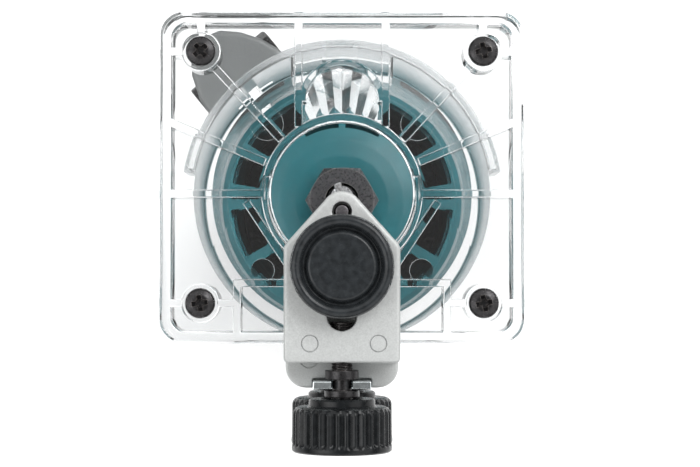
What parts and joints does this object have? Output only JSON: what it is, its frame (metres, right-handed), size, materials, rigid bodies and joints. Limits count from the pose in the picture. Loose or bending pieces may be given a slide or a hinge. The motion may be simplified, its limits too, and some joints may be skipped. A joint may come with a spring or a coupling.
{
  "type": "trim router",
  "caption": "Trim router standing on its head: motor unit with collet and bit, clear slotted base with clamp lever, and a roller edge guide with screw adjustment.",
  "frame": {"origin": "centre of the flat head face that the router stands on, on the spindle axis", "axes": "+Z along the spindle from the head to the bit and sole, +Y away from the edge guide towards the base's straight fence edge, +X to the right when the sole is looked at with the guide below"},
  "size_m": [0.09, 0.1136, 0.2188],
  "materials": {
    "teal_plastic": "satin",
    "black_plastic": "satin",
    "clear_plastic": "gloss",
    "casting": "satin",
    "lever_casting": "satin",
    "steel": "satin",
    "black_steel": "satin",
    "zinc": "gloss",
    "lamination": "matte",
    "copper": "satin",
    "brass": "satin",
    "carbon": "matte"
  },
  "bodies": {
    "motor_unit": {"motor_housing": "teal_plastic", "head_cover": "black_plastic", "head_screw_1": "black_steel", "head_screw_2": "black_steel", "head_screw_3": "black_steel", "head_screw_4": "black_steel", "switch_body": "black_plastic", "bearing_bracket": "black_plastic", "upper_bearing": "steel", "lower_bearing": "steel", "bearing_retainer": "steel", "stator_core": "lamination", "field_coil_front": "copper", "field_coil_rear": "copper", "brush_holder_left": "brass", "brush_holder_right": "brass", "carbon_brush_left": "carbon", "carbon_brush_right": "carbon", "brush_spring_left": "steel", "brush_spring_right": "steel", "brush_cap_left": "black_plastic", "brush_cap_right": "black_plastic", "fan_baffle": "black_plastic"},
    "switch": {"switch_slider": "black_plastic"},
    "spindle": {"armature_shaft": "steel", "armature_core": "lamination", "winding_lower": "copper", "winding_upper": "copper", "commutator": "copper", "cooling_fan": "black_plastic", "collet_cone": "steel", "straight_bit": "steel"},
    "collet_nut": {"collet_nut": "black_steel"},
    "base": {"base_body": "clear_plastic", "sole_plate": "clear_plastic", "base_screw_1": "black_steel", "base_screw_2": "black_steel", "base_screw_3": "black_steel", "base_screw_4": "black_steel", "chip_deflector": "clear_plastic", "clamp_bolt": "black_steel", "clamp_nut": "black_steel", "side_insert": "brass", "guide_holder": "casting", "screw_retainer": "zinc"},
    "clamp_lever": {"clamp_lever": "lever_casting"},
    "guide_arm": {"guide_arm": "casting", "roller_pin": "black_steel"},
    "guide_roller": {"guide_roller": "steel"},
    "adjusting_screw": {"adjusting_screw": "black_steel", "adjusting_knob": "black_plastic"},
    "arm_clamp_washer": {"arm_clamp_washer": "zinc"},
    "arm_clamp_knob": {"arm_clamp_knob": "black_plastic", "arm_clamp_stud": "steel"},
    "side_clamp_washer": {"side_clamp_washer": "zinc"},
    "side_clamp_knob": {"side_clamp_knob": "black_plastic", "side_clamp_stud": "steel"}
  },
  "joints": [
    {"name": "spindle_spin", "type": "hinge", "parent": "motor_unit", "child": "spindle", "pos_m": [0, 0, 0.1], "axis": [0, 0, 1], "continuous": true},
    {"name": "collet_nut_turn", "type": "hinge", "parent": "spindle", "child": "collet_nut", "pos_m": [0, 0, 0.16], "axis": [0, 0, 1], "range_deg": [0, 360]},
    {"name": "switch_slide", "type": "slide", "parent": "motor_unit", "child": "switch", "axis": [0, 0, 1], "range_m": [0, 0.005]},
    {"name": "base_slide", "type": "slide", "parent": "motor_unit", "child": "base", "axis": [0, 0, 1], "range_m": [0, 0.012]},
    {"name": "clamp_lever_swing", "type": "hinge", "parent": "base", "child": "clamp_lever", "pos_m": [-0.02895, 0.03575, 0.148], "axis": [0.7771, 0.6293, 0], "range_deg": [0, 70]},
    {"name": "guide_arm_slide", "type": "slide", "parent": "base", "child": "guide_arm", "axis": [0, 1, 0], "range_m": [-0.0015, 0.006]},
    {"name": "adjusting_screw_turn", "type": "hinge", "parent": "base", "child": "adjusting_screw", "pos_m": [0, -0.0466, 0.2067], "axis": [0, -1, 0], "range_deg": [-675.1, 2700.1]},
    {"name": "guide_roller_spin", "type": "hinge", "parent": "guide_arm", "child": "guide_roller", "pos_m": [0, -0.005, 0.2], "axis": [0, 0, 1], "continuous": true},
    {"name": "arm_clamp_travel", "type": "slide", "parent": "base", "child": "arm_clamp_washer", "axis": [0, 0, 1], "range_m": [0, 0.002]},
    {"name": "arm_clamp_turn", "type": "hinge", "parent": "arm_clamp_washer", "child": "arm_clamp_knob", "pos_m": [0, -0.0182, 0.212], "axis": [0, 0, 1], "range_deg": [-0.1, 720.1]},
    {"name": "side_clamp_travel", "type": "slide", "parent": "base", "child": "side_clamp_washer", "axis": [0, -1, 0], "range_m": [0, 0.003]},
    {"name": "side_clamp_turn", "type": "hinge", "parent": "side_clamp_washer", "child": "side_clamp_knob", "pos_m": [0, -0.044, 0.179], "axis": [0, -1, 0], "range_deg": [-0.1, 1080.1]}
  ],
  "couplings": [
    {"joint": "adjusting_screw_turn", "follows": "guide_arm_slide", "rad_per_m": 7854},
    {"joint": "arm_clamp_turn", "follows": "arm_clamp_travel", "rad_per_m": 6283.2},
    {"joint": "side_clamp_turn", "follows": "side_clamp_travel", "rad_per_m": 6283.2}
  ]
}
